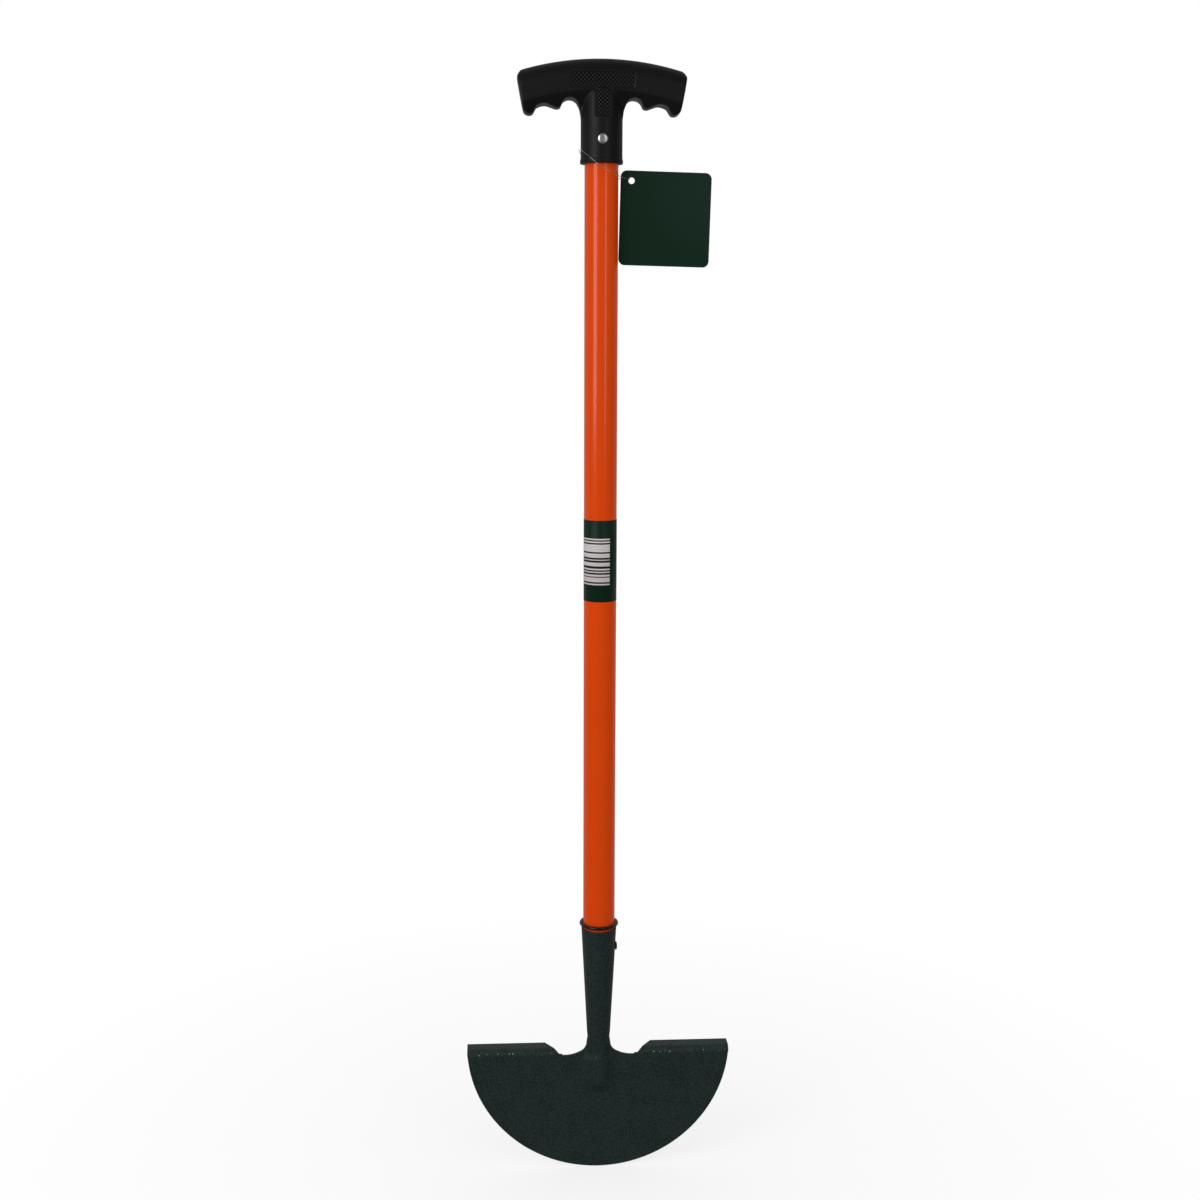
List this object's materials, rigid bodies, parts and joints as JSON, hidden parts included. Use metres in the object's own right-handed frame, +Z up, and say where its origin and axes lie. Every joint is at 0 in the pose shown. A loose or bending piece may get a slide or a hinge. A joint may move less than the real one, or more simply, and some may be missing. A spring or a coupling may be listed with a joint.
{
  "type": "half moon edger",
  "caption": "Long handled lawn edger: half-round steel blade with folded foot treads, tapered socket, plastic covered tube shaft, moulded T grip and a hanging card tag.",
  "frame": {"origin": "on the shaft's axis, at the lowest point of the half-round cutting edge", "axes": "+Z up along the shaft, from the blade to the grip; -Y is the front, and +Y the side that the treads are folded to; +X to the right seen from the front"},
  "size_m": [0.22, 0.0364, 0.9032],
  "materials": {
    "green_coat": "hammered dark green powder coat",
    "tube_steel": "plain drawn steel",
    "orange_cover": "smooth gloss orange cover",
    "black_rubber": "smooth black rubber",
    "black_grip": "satin black moulding",
    "bright_rivet": "bright domed rivet",
    "label_film": "printed film label",
    "tag_card": "laminated card",
    "clear_nylon": "clear nylon filament"
  },
  "bodies": {
    "edger": {"blade": "green_coat", "socket": "green_coat", "weld_bead": "green_coat", "shaft_tube": "tube_steel", "shaft_sleeve": "orange_cover", "collar_ring": "black_rubber", "socket_rivet": "green_coat", "socket_rivet_mandrel": "tube_steel", "grip": "black_grip", "grip_rivet": "bright_rivet", "grip_rivet_mandrel": "tube_steel", "wrap_label": "label_film"},
    "loop": {"tag_loop": "clear_nylon", "loop_lock": "clear_nylon"},
    "tag": {"hang_tag": "tag_card"}
  },
  "joints": [
    {"name": "loop_swivel", "type": "hinge", "parent": "edger", "child": "loop", "pos_m": [0, 0, 0.8258], "axis": [0, 0, 1], "continuous": true},
    {"name": "tag_swing", "type": "hinge", "parent": "loop", "child": "tag", "pos_m": [0.02305, 0, 0.81407], "axis": [0, -1, 0], "range_deg": [0, 45]}
  ]
}
